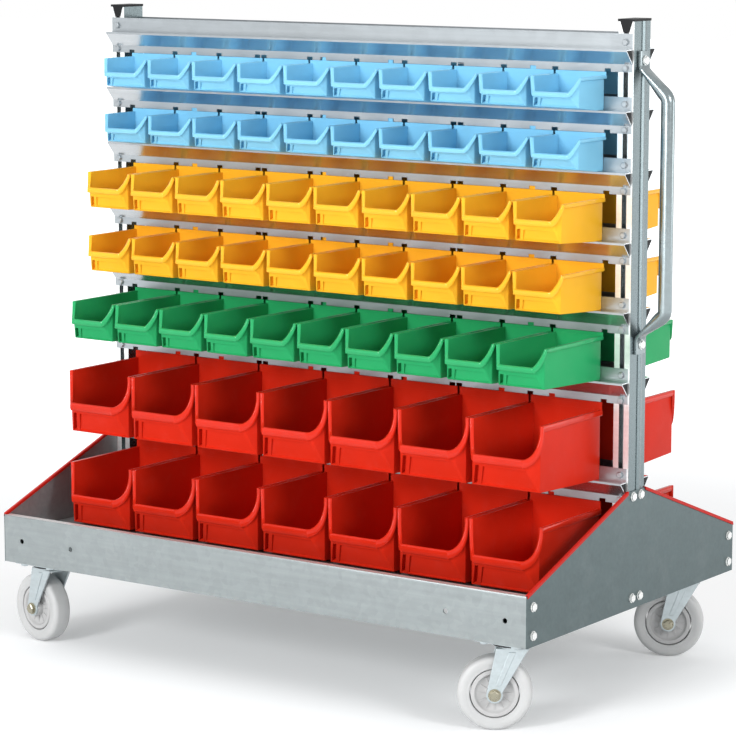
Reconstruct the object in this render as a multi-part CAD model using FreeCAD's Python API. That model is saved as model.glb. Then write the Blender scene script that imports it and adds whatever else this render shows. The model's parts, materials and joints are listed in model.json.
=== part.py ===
import FreeCAD, Part
import math
import os

# Two-sided bin trolley, in millimetres. +X runs along the trolley to the end with the push handle,
# -Y is the front and +Z is up. The origin lies on the floor under the middle of the base.

# Base
base_depth = 700.0
sheet = 1.5
panel_height = 87.0
panel_lip = 14.0
panel_lip_return = 8.0
panel_foot = 5.0
panel_end_flange = 30.0
end_flange_drop = 10.5
plate_rise = 118.5
tray_drop = 36.0
tray_edge = 20.0
panel_hole_radius = 4.5
panel_hole_height = 41.5
panel_hole_end = 42.0
panel_hole_spacing = 116.0
panel_bolt_inset = 18.0
panel_bolt_drop = 20.0
peak_bolt_drop = 9.5
low_bolt_rise = 19.0

# Red edge trim on the sloping edges of the end plates
trim_wall = 2.0
trim_grip = 8.0

# Bearers that carry the castors
bearer_width = 90.0
bearer_wall = 3.0

# Posts and caps
post_width = 30.0
post_depth = 54.0
post_wall = 2.5
post_slot = 9.0
post_groove = 12.0
post_groove_depth = 1.0
post_foot_gap = 2.0
post_above_rail = 20.0
cap_plate = 4.0
cap_overhang = 1.0
cap_plug = 28.0
cap_plug_gap = 0.3
cap_tongue = 18.5
cap_tongue_top = 23.0
cap_tongue_tip = 11.0
cap_tongue_wall = 0.9

# Hook rails: upper strip, nose with a level ledge and a slanting underside, notched lower strip
nose_depth = 20.0
nose_tip = 3.5
nose_drop = 25.0
upper_strip = 23.0
top_rail_strip = 26.0
lower_strip = 13.0
notch_width = 12.0
notch_height = 5.5

# Bins in a row: ten small ones or seven large ones on the same length
small_bin_width = 100.0
bin_spacing = 2.5
small_count = 10
large_count = 7
row_end_gap = 19.0
row_length = small_count * (small_bin_width + bin_spacing)
large_bin_width = row_length / large_count - bin_spacing

# Bin kinds: length from the rear wall to the front rim, height of the sides, headroom from there up to
# the ledge of the rail above, height of the front rim, how far that rim stands out past the front
# corners and how far its ends are set in from the sides
blue_bin = {
    "width": small_bin_width, "length": 97.0, "height": 57.5, "headroom": 44.8,
    "front": 32.5, "reach": 16.0, "inset": 12.0,
}
yellow_bin = {
    "width": small_bin_width, "length": 149.0, "height": 72.0, "headroom": 45.5,
    "front": 44.5, "reach": 17.0, "inset": 11.0,
}
green_bin = {
    "width": small_bin_width, "length": 200.0, "height": 75.0, "headroom": 44.8,
    "front": 44.5, "reach": 19.0, "inset": 12.0,
}
red_bin = {
    "width": large_bin_width, "length": 218.0, "height": 119.5, "headroom": 52.0,
    "front": 64.0, "reach": 26.0, "inset": 20.0,
}
bin_wall = 2.0
bin_rim = 5.0
bin_rim_height = 6.0
bin_seat = 24.0
bin_floor_rise = 7.0
hook_inset = 25.0
hook_rise = 7.0

# Castors
wheel_diameter = 125.0
wheel_width = 36.0
core_radius = 40.0
core_rim = 8.0
core_web = 12.0
core_recess = 2.0
hub_radius = 14.0
wheel_clearance = 12.7
castor_inset_x = 63.0
castor_trail = 29.0
head_plate = 4.0
head_length_x = 85.0
head_length_y = 105.0
head_bolts_x = 60.0
head_bolts_y = 80.0
cup_radius = 30.0
cup_height = 11.0
king_pin_radius = 10.0
fork_sheet = 4.0
fork_side_gap = 4.0
fork_crown = 22.0
fork_eye = 13.0
axle_radius = 5.0
tyre_round = 7.0

# Push handle
grip_radius = 12.0
grip_offset = 51.0
handle_below_post = 65.0
handle_bolt_span = 478.0
grip_above_bolt = 54.0
grip_below_bolt = 62.0
strap_width = 30.0
strap_thickness = 6.0
strap_bend = 6.0
tab_reach = 16.0
tab_bend = 9.6

# Fasteners: shank radius, width across flats, head height, nut height
m6 = {"shank": 3.0, "flats": 10.0, "head": 4.0, "nut": 5.0}
m8 = {"shank": 4.0, "flats": 13.0, "head": 5.3, "nut": 6.5}
m10 = {"shank": axle_radius, "flats": 17.0, "head": 6.4, "nut": 8.0}
bolt_past_nut = 1.0

# Clearances
hole_gap = 0.3
running_gap = 0.05
swivel_gap = 0.3
seat_gap = 0.2
bin_rear_gap = 0.3
hook_gap = 0.4
hook_back_gap = 0.6
tray_gap = 0.5
head_edge_gap = 0.5
rail_end_gap = 0.5
lip_end_gap = 1.0
trim_panel_gap = 0.5
trim_post_gap = 1.0
nut_pocket_gap = 2.0

# Rows from the top down: kind of bin and bins in the row
bin_kinds = {"blue": blue_bin, "yellow": yellow_bin, "green": green_bin, "red": red_bin}
rows = [
    ("blue", small_count),
    ("blue", small_count),
    ("yellow", small_count),
    ("yellow", small_count),
    ("green", small_count),
    ("red", large_count),
    ("red", large_count),
]


def row_pitch(colour):
    """Height from the ledge a bin stands on to the ledge of the rail it hooks into."""
    return bin_kinds[colour]["height"] + bin_kinds[colour]["headroom"]


# Levels and places that follow from the sizes above
base_length = row_length + 2 * (row_end_gap + post_width + sheet)
castor_height = wheel_diameter + wheel_clearance + fork_sheet + swivel_gap + cup_height + head_plate
panel_bottom = castor_height - sheet
panel_top = panel_bottom + panel_height
tray_level = panel_top - tray_drop
plate_peak = panel_top + plate_rise
plate_inner_x = base_length / 2 - sheet
panel_outer_y = base_depth / 2
panel_inner_y = panel_outer_y - sheet
post_x = plate_inner_x - post_width / 2
post_half = post_depth / 2
post_bottom = panel_bottom + post_foot_gap
top_ledge = tray_level + sum(row_pitch(colour) for colour, _ in rows)
post_top = top_ledge + top_rail_strip + post_above_rail
overall_height = post_top + cap_plate
web_front = post_half + sheet
bin_rear = web_front + bin_rear_gap
rail_half = plate_inner_x - trim_wall - rail_end_gap
rail_bottom = -nose_drop - lower_strip
rail_bolts_z = (upper_strip / 2, rail_bottom + lower_strip / 2)
plate_post_bolt_y = (post_half - post_wall / 2) / 2
plate_post_bolts_z = (plate_peak - peak_bolt_drop, panel_bottom + low_bolt_rise)
panel_bolt_y = panel_outer_y - panel_bolt_inset
panel_bolts_z = (panel_top - panel_bolt_drop, panel_bottom + low_bolt_rise)
castor_x = base_length / 2 - castor_inset_x
castor_y = panel_outer_y - panel_foot - head_edge_gap - head_length_y / 2
wheel_radius = wheel_diameter / 2
fork_inner = wheel_width / 2 + fork_side_gap
fork_outer = fork_inner + fork_sheet
handle_bolt_high = post_top - handle_below_post
handle_bolt_low = handle_bolt_high - handle_bolt_span
grip_bottom = handle_bolt_low + grip_above_bolt
grip_top = handle_bolt_high - grip_below_bolt

# Castor places: sign of X, sign of Y, direction of the trail at rest in degrees from +X
castors = {
    "front_left": (-1, -1, 168.0),
    "front_right": (1, -1, 212.0),
    "rear_left": (-1, 1, 195.0),
    "rear_right": (1, 1, 206.0),
}

x_axis = FreeCAD.Vector(1, 0, 0)
y_axis = FreeCAD.Vector(0, 1, 0)
z_axis = FreeCAD.Vector(0, 0, 1)
origin = FreeCAD.Vector(0, 0, 0)


def vec(x, y, z):
    return FreeCAD.Vector(x, y, z)


def block(x0, x1, y0, y1, z0, z1):
    return Part.makeBox(x1 - x0, y1 - y0, z1 - z0, vec(x0, y0, z0))


def polygon_face(points):
    return Part.Face(Part.makePolygon(points + points[:1]))


def side_prism(outline, x0, x1):
    """A prism along X over an outline of (y, z) points."""
    points = [vec(x0, y, z) for y, z in outline]
    return polygon_face(points).extrude(vec(x1 - x0, 0, 0))


def front_prism(outline, y0, y1):
    """A prism along Y over an outline of (x, z) points."""
    points = [vec(x, y0, z) for x, z in outline]
    return polygon_face(points).extrude(vec(0, y1 - y0, 0))


def plan_prism(outline, z0, z1):
    """A prism along Z over an outline of (x, y) points."""
    points = [vec(x, y, z0) for x, y in outline]
    return polygon_face(points).extrude(vec(0, 0, z1 - z0))


def rod(radius, start, axis, length):
    return Part.makeCylinder(radius, length, start, axis)


def hexagon(flats, start, axis, length):
    """A hexagonal prism from start along axis."""
    radius = flats / math.sqrt(3)
    points = []
    for corner in range(6):
        angle = math.radians(60 * corner)
        points.append(vec(radius * math.cos(angle), radius * math.sin(angle), 0))
    prism = polygon_face(points).extrude(vec(0, 0, length))
    prism.Placement = FreeCAD.Placement(start, FreeCAD.Rotation(z_axis, axis))
    return prism


def bolt_and_nut(size, seat, axis, grip):
    """A bolt whose head sits on seat, pointing along axis through grip, and its nut on the far side."""
    shank_length = grip + size["nut"] + bolt_past_nut
    head = hexagon(size["flats"], seat - axis * size["head"], axis, size["head"])
    bolt = head.fuse(rod(size["shank"], seat, axis, shank_length))
    nut_seat = seat + axis * grip
    nut = hexagon(size["flats"], nut_seat, axis, size["nut"])
    nut = nut.cut(rod(size["shank"] + running_gap, nut_seat, axis, size["nut"]))
    return [bolt.removeSplitter(), nut]


def bolt_hole(size, seat, axis, depth):
    return rod(size["shank"] + hole_gap, seat, axis, depth)


def turned(shape):
    """The same shape on the other side, half a turn about Z."""
    copy = shape.copy()
    copy.rotate(origin, z_axis, 180)
    return copy


def folded_strip(path, thickness):
    """Outline of a sheet of even thickness with one face along path and the sheet to its right."""
    offset = []
    for k, point in enumerate(path):
        normals = []
        for a, b in zip(path[max(k - 1, 0):k + 1], path[max(k - 1, 0) + 1:k + 2]):
            run = math.hypot(b[0] - a[0], b[1] - a[1])
            normals.append(((b[1] - a[1]) / run, (a[0] - b[0]) / run))
        first, last = normals[0], normals[-1]
        mitre = thickness / (1 + first[0] * last[0] + first[1] * last[1])
        shift_y = (first[0] + last[0]) * mitre
        shift_z = (first[1] + last[1]) * mitre
        offset.append((point[0] + shift_y, point[1] + shift_z))
    return path + offset[::-1]


def ledge_levels():
    """Height of every rail's ledge, from the top rail down."""
    levels = []
    level = tray_level
    for colour, _ in reversed(rows):
        level += row_pitch(colour)
        levels.insert(0, level)
    return levels


def row_places(colour, count):
    """Middle X of every bin in a row."""
    pitch = bin_kinds[colour]["width"] + bin_spacing
    return [(k - (count - 1) / 2) * pitch for k in range(count)]


def post(side):
    x0 = post_x - post_width / 2
    x1 = post_x + post_width / 2
    body = block(x0, x1, -post_half, post_half, post_bottom, post_top)
    for sign in (-1, 1):
        near, far = sorted((sign * post_wall / 2, sign * (post_half - post_wall)))
        body = body.cut(block(x0 + post_wall, x1 - post_wall, near, far, post_bottom, post_top))
        near, far = sorted((sign * (post_half - post_wall), sign * post_half))
        half_slot = post_slot / 2
        body = body.cut(block(post_x - half_slot, post_x + half_slot, near, far, post_bottom, post_top))
    half_groove = post_groove / 2
    body = body.cut(block(x1 - post_groove_depth, x1, -half_groove, half_groove, post_bottom, post_top))
    for z in plate_post_bolts_z:
        for y in (-plate_post_bolt_y, plate_post_bolt_y):
            body = body.cut(bolt_hole(m8, vec(x1, y, z), -x_axis, post_wall))
    if side > 0:
        for z in (handle_bolt_low, handle_bolt_high):
            body = body.cut(bolt_hole(m8, vec(x1, 0, z), -x_axis, post_width / 2))
            pocket = m8["flats"] / 2 + nut_pocket_gap
            body = body.cut(block(post_x, x1 - post_wall, -pocket, pocket, z - pocket, z + pocket))
    return body if side > 0 else turned(body)


def post_cap(side):
    half_x = post_width / 2 + cap_overhang
    half_y = post_half + cap_overhang
    cap = block(post_x - half_x, post_x + half_x, -half_y, half_y, post_top, overall_height)
    plug_x = post_width / 2 - post_wall - cap_plug_gap
    for sign in (-1, 1):
        near = sign * (post_wall / 2 + cap_plug_gap)
        far = sign * (post_half - post_wall - cap_plug_gap)
        low, high = sorted((near, far))
        cap = cap.fuse(block(post_x - plug_x, post_x + plug_x, low, high, post_top - cap_plug, post_top))
    tip = post_top - cap_tongue
    tongue = [(post_x - cap_tongue_top / 2, post_top), (post_x + cap_tongue_top / 2, post_top)]
    tongue += [(post_x + cap_tongue_tip / 2, tip), (post_x - cap_tongue_tip / 2, tip)]
    for y0 in (-post_half - cap_tongue_wall, post_half):
        cap = cap.fuse(front_prism(tongue, y0, y0 + cap_tongue_wall))
    return cap if side > 0 else turned(cap)


def notch_places():
    """Middle X of the notches: at every boundary between small bins and between large bins."""
    places = []
    for colour, count in (("blue", small_count), ("red", large_count)):
        pitch = bin_kinds[colour]["width"] + bin_spacing
        places += [(k - count / 2) * pitch for k in range(count + 1)]
    return places


def hook_rail(level, strip):
    """One rail on the front: a folded sheet with notches along its lower edge."""
    path = [
        (-post_half - sheet, level + strip),
        (-post_half - sheet, level),
        (-post_half - nose_depth, level),
        (-post_half - nose_depth, level - nose_tip),
        (-post_half - sheet, level - nose_drop),
        (-post_half - sheet, level + rail_bottom),
    ]
    outline = folded_strip([(y, z) for y, z in reversed(path)], sheet)
    rail = side_prism(outline, -rail_half, rail_half)
    cuts = []
    low = level + rail_bottom
    half = notch_width / 2
    for x in notch_places():
        cuts.append(block(x - half, x + half, -web_front, -post_half, low, low + notch_height))
    for x in (-post_x, post_x):
        for z in rail_bolts_z:
            cuts.append(bolt_hole(m6, vec(x, -web_front, level + z), y_axis, sheet))
    return rail.cut(Part.makeCompound(cuts))


def front_rails():
    rails = []
    for k, level in enumerate(ledge_levels()):
        rails.append(hook_rail(level, top_rail_strip if k == 0 else upper_strip))
    return rails


def front_rail_bolts():
    bolts = []
    for level in ledge_levels():
        for x in (-post_x, post_x):
            for z in rail_bolts_z:
                bolts += bolt_and_nut(m6, vec(x, -web_front, level + z), y_axis, sheet + post_wall)
    return bolts


def panel_hole_places():
    outer = base_length / 2 - panel_hole_end
    return [sign * x for sign in (-1, 1) for x in (outer - panel_hole_spacing, outer)]


def side_panel():
    """The front panel: a face with a folded lip on top, a foot below and a flange at each end."""
    outer = -panel_outer_y
    inner = -panel_inner_y
    lip_end = plate_inner_x - trim_wall - lip_end_gap
    lip_edge = outer + panel_lip
    face = block(-plate_inner_x, plate_inner_x, outer, inner, panel_bottom, panel_top)
    lip = block(-lip_end, lip_end, outer, lip_edge, panel_top - sheet, panel_top)
    fold = block(-lip_end, lip_end, lip_edge - sheet, lip_edge, panel_top - panel_lip_return, panel_top)
    foot = block(-lip_end, lip_end, outer, outer + panel_foot, panel_bottom, panel_bottom + sheet)
    panel = face.fuse([lip, fold, foot])
    flange_edge = outer + panel_end_flange
    for sign in (-1, 1):
        x0, x1 = sorted((sign * (plate_inner_x - sheet), sign * plate_inner_x))
        flange = block(x0, x1, inner, flange_edge, panel_bottom + sheet, panel_top - end_flange_drop)
        panel = panel.fuse(flange)
        for z in panel_bolts_z:
            panel = panel.cut(bolt_hole(m8, vec(x0, -panel_bolt_y, z), x_axis, sheet))
    for x in panel_hole_places():
        start = vec(x, outer, panel_bottom + panel_hole_height)
        panel = panel.cut(rod(panel_hole_radius, start, y_axis, sheet))
    return panel.removeSplitter()


def tray():
    """The tray floor with an edge folded down along each side panel."""
    half_x = plate_inner_x - sheet
    floor = block(-half_x, half_x, -panel_inner_y, panel_inner_y, tray_level - sheet, tray_level)
    edge_x = half_x - sheet
    edge_y = -panel_inner_y + sheet
    edge = block(-edge_x, edge_x, -panel_inner_y, edge_y, tray_level - tray_edge, tray_level)
    for x in panel_hole_places():
        start = vec(x, -panel_inner_y, panel_bottom + panel_hole_height)
        edge = edge.cut(rod(panel_hole_radius, start, y_axis, sheet))
    body = floor.fuse([edge, turned(edge)])
    reach = post_x - post_width / 2 - tray_gap
    half_y = post_half + tray_gap
    for x0, x1 in ((-half_x, -reach), (reach, half_x)):
        body = body.cut(block(x0, x1, -half_y, half_y, tray_level - sheet, tray_level))
    return body.removeSplitter()


def bearer():
    """The channel under the right end of the tray, notched round the post."""
    half = bearer_width / 2
    end_y = panel_inner_y - sheet - tray_gap
    top = tray_level - sheet
    channel = block(castor_x - half, castor_x + half, -end_y, end_y, castor_height, top)
    inside = block(castor_x - half + bearer_wall, castor_x + half - bearer_wall,
                   -end_y, end_y, castor_height + bearer_wall, top)
    channel = channel.cut(inside)
    reach = post_x - post_width / 2 - tray_gap
    half_y = post_half + tray_gap
    channel = channel.cut(block(reach, castor_x + half, -half_y, half_y, castor_height, top))
    for sign in (-1, 1):
        for x, y in head_bolt_places():
            start = vec(castor_x + x, sign * castor_y + y, castor_height)
            channel = channel.cut(bolt_hole(m8, start, z_axis, bearer_wall))
    return channel


def end_plate():
    """The right end plate: level in the middle, sloping down to the side panels."""
    outline = [
        (-panel_outer_y, panel_bottom),
        (panel_outer_y, panel_bottom),
        (panel_outer_y, panel_top),
        (post_half, plate_peak),
        (-post_half, plate_peak),
        (-panel_outer_y, panel_top),
    ]
    plate = side_prism(outline, plate_inner_x, plate_inner_x + sheet)
    for seat in end_plate_bolt_seats():
        plate = plate.cut(bolt_hole(m8, seat, -x_axis, sheet))
    return plate


def end_plate_bolt_seats():
    """Where the bolt heads sit on the right end plate."""
    x = plate_inner_x + sheet
    seats = [vec(x, y, z) for z in panel_bolts_z for y in (-panel_bolt_y, panel_bolt_y)]
    seats += [vec(x, y, z) for z in plate_post_bolts_z for y in (-plate_post_bolt_y, plate_post_bolt_y)]
    return seats


def end_plate_bolts():
    bolts = []
    for seat in end_plate_bolt_seats():
        wall = post_wall if abs(seat.y) < post_half else sheet
        bolts += bolt_and_nut(m8, seat, -x_axis, sheet + wall)
    return bolts


def edge_trims():
    """The two trims of the right end plate, each a U over the sloping edge."""
    start_y = panel_inner_y - trim_panel_gap
    end_y = post_half + trim_post_gap
    slope = plate_rise / (panel_outer_y - post_half)
    stretch = math.hypot(1, slope)
    trims = []
    plate = end_plate()
    for sign in (-1, 1):
        outline = []
        corners = ((start_y, trim_wall), (end_y, trim_wall), (end_y, -trim_grip), (start_y, -trim_grip))
        for y, rise in corners:
            edge = panel_top + slope * (panel_outer_y - y)
            outline.append((sign * y, edge + rise * stretch))
        strip = side_prism(outline, plate_inner_x - trim_wall, plate_inner_x + sheet + trim_wall)
        trims.append(strip.cut(plate))
    return trims


def handle_strap(bolt_z, grip_z, way):
    """A flattened end: a tab on the post, then a slant to the end of the grip; way is +1 for upwards."""
    face = plate_inner_x
    tab_face = face + strap_thickness
    grip_x = face + grip_offset
    outline = [
        (face, bolt_z - way * tab_reach),
        (tab_face, bolt_z - way * tab_reach),
        (tab_face, bolt_z + way * tab_bend),
        (grip_x + strap_bend, grip_z - way * strap_thickness),
        (grip_x + strap_bend, grip_z + way * strap_thickness),
        (grip_x - strap_bend, grip_z + way * strap_thickness),
        (face, bolt_z + way * tab_reach),
    ]
    return front_prism(outline, -strap_width / 2, strap_width / 2)


def push_handle():
    """A tube between two flattened ends that slant back to the post."""
    bar = rod(grip_radius, vec(plate_inner_x + grip_offset, 0, grip_bottom), z_axis, grip_top - grip_bottom)
    low = handle_strap(handle_bolt_low, grip_bottom, 1)
    high = handle_strap(handle_bolt_high, grip_top, -1)
    handle = bar.fuse([low, high])
    for seat in handle_bolt_seats():
        handle = handle.cut(bolt_hole(m8, seat, -x_axis, strap_thickness))
    return handle.removeSplitter()


def handle_bolt_seats():
    x = plate_inner_x + strap_thickness
    return [vec(x, 0, z) for z in (handle_bolt_low, handle_bolt_high)]


def handle_bolts():
    bolts = []
    for seat in handle_bolt_seats():
        bolts += bolt_and_nut(m8, seat, -x_axis, strap_thickness + post_wall)
    return bolts


def head_bolt_places():
    half_x = head_bolts_x / 2
    half_y = head_bolts_y / 2
    return [(x, y) for x in (-half_x, half_x) for y in (-half_y, half_y)]


def castor_head():
    """Top plate with the raceway cup below it; the swivel axis is Z through the origin."""
    bottom = castor_height - head_plate
    half_x = head_length_x / 2
    half_y = head_length_y / 2
    plate = block(-half_x, half_x, -half_y, half_y, bottom, castor_height)
    head = plate.fuse(rod(cup_radius, vec(0, 0, bottom - cup_height), z_axis, cup_height))
    bore_radius = king_pin_radius + running_gap
    head = head.cut(rod(bore_radius, vec(0, 0, bottom - cup_height), z_axis, cup_height + head_plate))
    for x, y in head_bolt_places():
        head = head.cut(bolt_hole(m8, vec(x, y, bottom), z_axis, head_plate))
    return head


def castor_bolts():
    bolts = []
    for x, y in head_bolt_places():
        seat = vec(x, y, castor_height - head_plate)
        bolts += bolt_and_nut(m8, seat, z_axis, head_plate + bearer_wall)
    return bolts


def castor_fork():
    """Fork with its king pin, trailing towards +X."""
    crown_top = castor_height - head_plate - cup_height - swivel_gap
    fork = block(-fork_crown, fork_crown, -fork_outer, fork_outer, crown_top - fork_sheet, crown_top)
    pin_length = castor_height - swivel_gap - crown_top
    fork = fork.fuse(rod(king_pin_radius, vec(0, 0, crown_top), z_axis, pin_length))
    leg = [
        (-fork_crown, crown_top),
        (fork_crown, crown_top),
        (castor_trail + fork_eye, wheel_radius),
        (castor_trail + fork_eye / 2, wheel_radius - fork_eye),
        (castor_trail - fork_eye / 2, wheel_radius - fork_eye),
        (castor_trail - fork_eye, wheel_radius),
    ]
    for y0, y1 in ((-fork_outer, -fork_inner), (fork_inner, fork_outer)):
        fork = fork.fuse(front_prism(leg, y0, y1))
    eye_start = vec(castor_trail, -fork_outer, wheel_radius)
    eye = rod(axle_radius + running_gap, eye_start, y_axis, 2 * fork_outer)
    return fork.cut(eye).removeSplitter()


def castor_axle():
    return bolt_and_nut(m10, vec(castor_trail, -fork_outer, wheel_radius), y_axis, 2 * fork_outer)


def turned_about_axle(outline):
    """A ring about the axle over an outline of (radius, along the axle) points."""
    points = [vec(castor_trail + r, y, wheel_radius) for r, y in outline]
    return polygon_face(points).revolve(vec(castor_trail, 0, wheel_radius), y_axis, 360)


def wheel_core():
    hub_half = fork_inner - swivel_gap
    rim_half = wheel_width / 2 - core_recess
    bore = axle_radius + running_gap
    rim_inner = core_radius - core_rim
    half = [
        (bore, hub_half),
        (hub_radius, hub_half),
        (hub_radius, core_web / 2),
        (rim_inner, core_web / 2),
        (rim_inner, rim_half),
        (core_radius, rim_half),
    ]
    return turned_about_axle(half + [(r, -y) for r, y in reversed(half)])


def tyre():
    half = wheel_width / 2
    inner = core_radius + running_gap
    outline = [(inner, -half), (wheel_radius, -half), (wheel_radius, half), (inner, half)]
    ring = turned_about_axle(outline)
    circles = [edge for edge in ring.Edges if edge.Curve.TypeId == "Part::GeomCircle"]
    tread_edges = [edge for edge in circles if edge.Curve.Radius > (core_radius + wheel_radius) / 2]
    return ring.makeFillet(tyre_round, tread_edges)


def placed_castor(shape, place, swivelled):
    sign_x, sign_y, trail_angle = castors[place]
    copy = shape.copy()
    if swivelled:
        copy.rotate(origin, z_axis, trail_angle)
    copy.translate(vec(sign_x * castor_x, sign_y * castor_y, 0))
    return copy


def bin_plan(size, wall):
    """Plan of a bin with its front corners cut off, drawn in by wall."""
    length = size["length"] - wall
    half = size["width"] / 2 - bin_rim - wall
    narrow = half - size["inset"]
    corner = -length + size["reach"]
    left = [(-half, -wall), (-half, corner), (-narrow, -length)]
    return left + [(-x, y) for x, y in reversed(left)]


def bin_block(size, wall):
    """The block a bin fills, drawn in by wall on every side but the top; its floor rises to the front."""
    length = size["length"] - wall
    half = size["width"] / 2
    corner = -length + size["reach"]
    top = size["height"] + wall
    profile = [(-wall, wall), (-bin_seat, wall), (corner, wall + bin_floor_rise), (-length, size["front"])]
    profile += [(corner, top), (-wall, top)]
    return side_prism(profile, -half, half).common(plan_prism(bin_plan(size, wall), wall, top))


def storage_bin(colour):
    """One bin on the front: its rear wall near Y 0, its front towards -Y and its underside at Z 0."""
    size = bin_kinds[colour]
    height = size["height"]
    front = size["front"]
    half = size["width"] / 2 - bin_rim
    corner = -size["length"] + size["reach"]
    narrow = half - bin_wall - size["inset"]
    mouth = plan_prism(bin_plan(size, bin_wall), front, height)
    above_rim = block(-narrow, narrow, -size["length"], corner, front, height)
    body = bin_block(size, 0).cut([bin_block(size, bin_wall), mouth, above_rim])
    rims = []
    for x0, x1 in ((-half - bin_rim, -half), (half, half + bin_rim)):
        rims.append(block(x0, x1, corner, 0, height - bin_rim_height, height))
    strip_edge = row_pitch(colour) + rail_bottom - seat_gap
    lip_top = strip_edge - hook_gap
    behind = bin_rear_gap + sheet + hook_back_gap
    hook = [
        (0, height - bin_rim_height),
        (-bin_wall, height - bin_rim_height),
        (-bin_wall, lip_top),
        (behind, lip_top),
        (behind, strip_edge + hook_rise),
        (behind + bin_wall, strip_edge + hook_rise),
        (behind + bin_wall, lip_top - bin_wall),
        (0, lip_top - bin_wall),
    ]
    half_hook = size["width"] / 2 - hook_inset
    return body.fuse(rims + [side_prism(hook, -half_hook, half_hook)]).removeSplitter()


def row_of_bins(index):
    """All the bins of one front row, from left to right."""
    colour, count = rows[index]
    model = storage_bin(colour)
    stand = ledge_levels()[index] - row_pitch(colour) + seat_gap
    placed = []
    for x in row_places(colour, count):
        copy = model.copy()
        copy.translate(vec(x, -bin_rear, stand))
        placed.append(copy)
    return placed


def write(name, shapes):
    shape = shapes[0] if len(shapes) == 1 else Part.makeCompound(shapes)
    shape.exportStep(os.path.join("parts", name + ".step"))


def write_frame():
    plate = end_plate()
    trims = edge_trims()
    panel = side_panel()
    rails = front_rails()
    rail_bolts = front_rail_bolts()
    plate_bolts = end_plate_bolts()
    right_bearer = bearer()
    write("post_left", [post(-1)])
    write("post_right", [post(1)])
    write("post_cap_left", [post_cap(-1)])
    write("post_cap_right", [post_cap(1)])
    write("front_hook_rails", rails)
    write("rear_hook_rails", [turned(rail) for rail in rails])
    write("rail_bolts", rail_bolts + [turned(bolt) for bolt in rail_bolts])
    write("front_side_panel", [panel])
    write("rear_side_panel", [turned(panel)])
    write("end_plate_left", [turned(plate)])
    write("end_plate_right", [plate])
    write("end_plate_bolts", plate_bolts + [turned(bolt) for bolt in plate_bolts])
    write("edge_trims_left", [turned(trim) for trim in trims])
    write("edge_trims_right", trims)
    write("base_tray", [tray()])
    write("castor_bearers", [right_bearer, turned(right_bearer)])
    write("push_handle", [push_handle()])
    write("handle_bolts", handle_bolts())


def write_castors():
    moving = {
        "fork": [castor_fork()],
        "axle": castor_axle(),
        "wheel_core": [wheel_core()],
        "tyre": [tyre()],
    }
    head = castor_head()
    model_bolts = castor_bolts()
    all_bolts = []
    for place in castors:
        write("castor_head_" + place, [placed_castor(head, place, False)])
        for name, shapes in moving.items():
            write("castor_" + name + "_" + place, [placed_castor(s, place, True) for s in shapes])
        all_bolts += [placed_castor(bolt, place, False) for bolt in model_bolts]
    write("castor_bolts", all_bolts)


def write_bins():
    """Front rows leave out their last bin, which is a piece of its own; rear rows are whole."""
    for index, (colour, _) in enumerate(rows):
        label = "row_" + str(index + 1) + "_" + colour
        bins = row_of_bins(index)
        write("front_" + label + "_bins", bins[:-1])
        write("front_" + label + "_end_bin", bins[-1:])
        write("rear_" + label + "_bins", [turned(model) for model in bins])


os.makedirs("parts", exist_ok=True)
write_frame()
write_castors()
write_bins()
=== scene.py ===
import json
import math

import bmesh
import bpy
from mathutils import Matrix, Vector


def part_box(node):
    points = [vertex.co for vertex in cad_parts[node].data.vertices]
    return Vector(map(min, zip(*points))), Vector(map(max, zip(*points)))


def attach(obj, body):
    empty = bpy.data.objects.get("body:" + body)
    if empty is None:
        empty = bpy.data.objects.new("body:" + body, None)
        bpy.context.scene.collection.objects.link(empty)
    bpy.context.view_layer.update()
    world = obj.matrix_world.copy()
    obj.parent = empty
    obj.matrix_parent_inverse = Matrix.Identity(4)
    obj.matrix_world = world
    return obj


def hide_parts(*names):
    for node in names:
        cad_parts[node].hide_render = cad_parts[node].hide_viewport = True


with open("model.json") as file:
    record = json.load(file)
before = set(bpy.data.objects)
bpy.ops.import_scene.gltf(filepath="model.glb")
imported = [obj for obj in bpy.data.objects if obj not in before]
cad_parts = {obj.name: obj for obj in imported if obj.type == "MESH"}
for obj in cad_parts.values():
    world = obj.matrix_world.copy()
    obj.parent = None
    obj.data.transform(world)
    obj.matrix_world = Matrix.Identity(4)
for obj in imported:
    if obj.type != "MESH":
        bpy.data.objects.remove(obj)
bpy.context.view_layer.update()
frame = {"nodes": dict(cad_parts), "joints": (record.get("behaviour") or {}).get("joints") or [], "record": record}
joints = {joint["name"]: joint for joint in frame["joints"]}
castorPlaces = ["front_left", "front_right", "rear_left", "rear_right"]
print("frame loaded:", len(frame["nodes"]), "nodes")


# Nodes and meshes

weld = 1e-6   # points nearer than this are one


def join(tree, sockets, values):
    # links an output to a socket, or sets the socket's value
    for name, value in values.items():
        if isinstance(value, bpy.types.NodeSocket):
            tree.links.new(value, sockets[name])
        else:
            sockets[name].default_value = value


def place(tree, kind, inputs=None, **settings):
    node = tree.nodes.new(kind)
    for name, value in settings.items():
        setattr(node, name, value)
    join(tree, node.inputs, inputs or {})
    return node


def mathNode(tree, operation, *values):
    return place(tree, "ShaderNodeMath", dict(enumerate(values)), operation=operation).outputs["Value"]


def noise(tree, vector, scale, detail, roughness=0.5):
    return place(tree, "ShaderNodeTexNoise", {
        "Vector": vector, "Scale": scale, "Detail": detail, "Roughness": roughness}).outputs["Fac"]


def remapped(tree, value, fromRange, toRange, curve="LINEAR"):
    return place(tree, "ShaderNodeMapRange", {
        "Value": value, "From Min": fromRange[0], "From Max": fromRange[1], "To Min": toRange[0],
        "To Max": toRange[1]}, interpolation_type=curve).outputs["Result"]


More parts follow.
